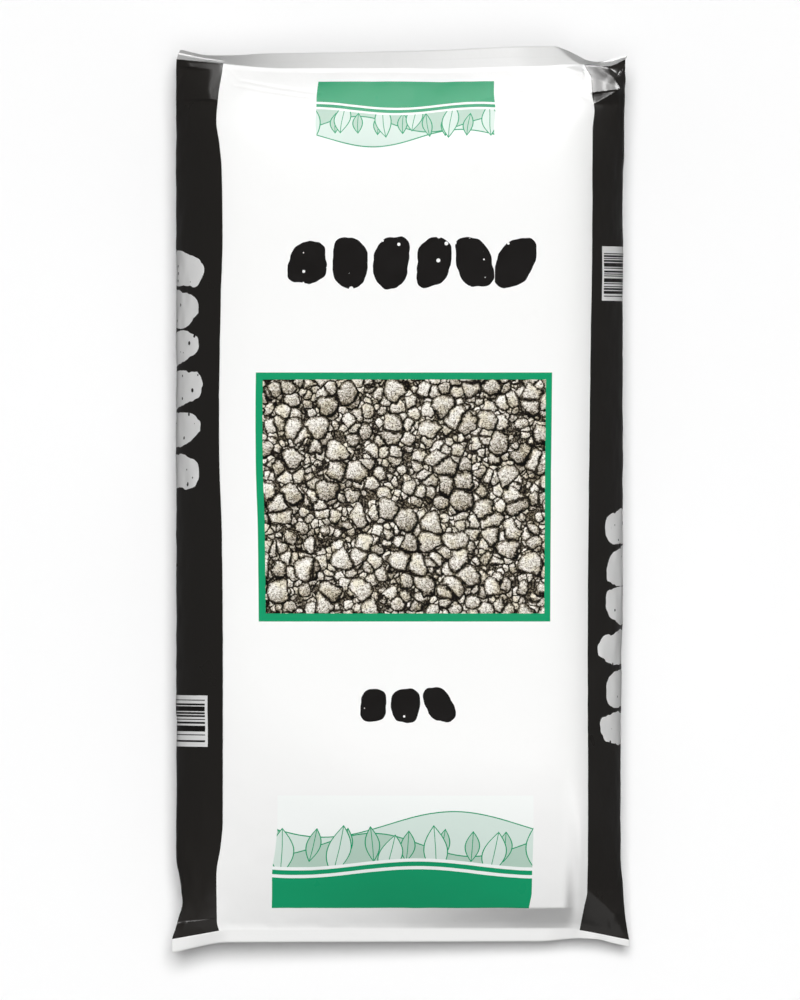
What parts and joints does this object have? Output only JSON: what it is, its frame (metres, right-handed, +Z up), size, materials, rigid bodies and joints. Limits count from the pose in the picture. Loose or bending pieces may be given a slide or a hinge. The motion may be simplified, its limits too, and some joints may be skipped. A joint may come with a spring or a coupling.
{
  "type": "filled film sack of pumice",
  "caption": "Full film sack of loose pumice with dark sides, heat-sealed straight across each end, lying on its back with its printed front up.",
  "frame": {"origin": "on the floor under the middle of the sack's bounding box", "axes": "+Y along the sack to its top seal, +Z up out of the printed front, +X across to the right when the front is read upright"},
  "size_m": [0.451, 0.8921, 0.154],
  "materials": {
    "film": "satin printed film, white with black sides",
    "pumice": "matt"
  },
  "bodies": {
    "root": {"film_sack": "film", "pumice_filling": "pumice"}
  },
  "joints": []
}
